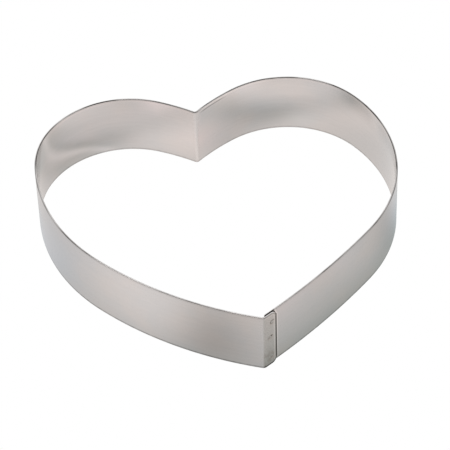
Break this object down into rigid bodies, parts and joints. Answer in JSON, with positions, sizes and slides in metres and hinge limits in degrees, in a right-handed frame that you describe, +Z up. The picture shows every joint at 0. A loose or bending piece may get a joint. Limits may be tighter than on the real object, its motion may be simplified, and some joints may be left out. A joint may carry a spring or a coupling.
{
  "type": "heart cake ring",
  "caption": "Open heart-shaped stainless baking ring with no base: a strip on edge, folded at the cleft and the point, lapped there and spot-welded.",
  "frame": {"origin": "on the ground, under the middle of the heart's bounding box", "axes": "+Z up, -Y towards the heart's point, +Y towards the cleft, +X to the right seen with the point towards the viewer"},
  "size_m": [0.2056, 0.1938, 0.04],
  "materials": {
    "satin_steel": "satin mill finish, softly reflective",
    "weld_metal": "dull, heat-tinted brown-grey"
  },
  "bodies": {
    "root": {"heart_band": "satin_steel", "spot_weld_upper": "weld_metal", "spot_weld_middle": "weld_metal", "spot_weld_lower": "weld_metal"}
  },
  "joints": []
}
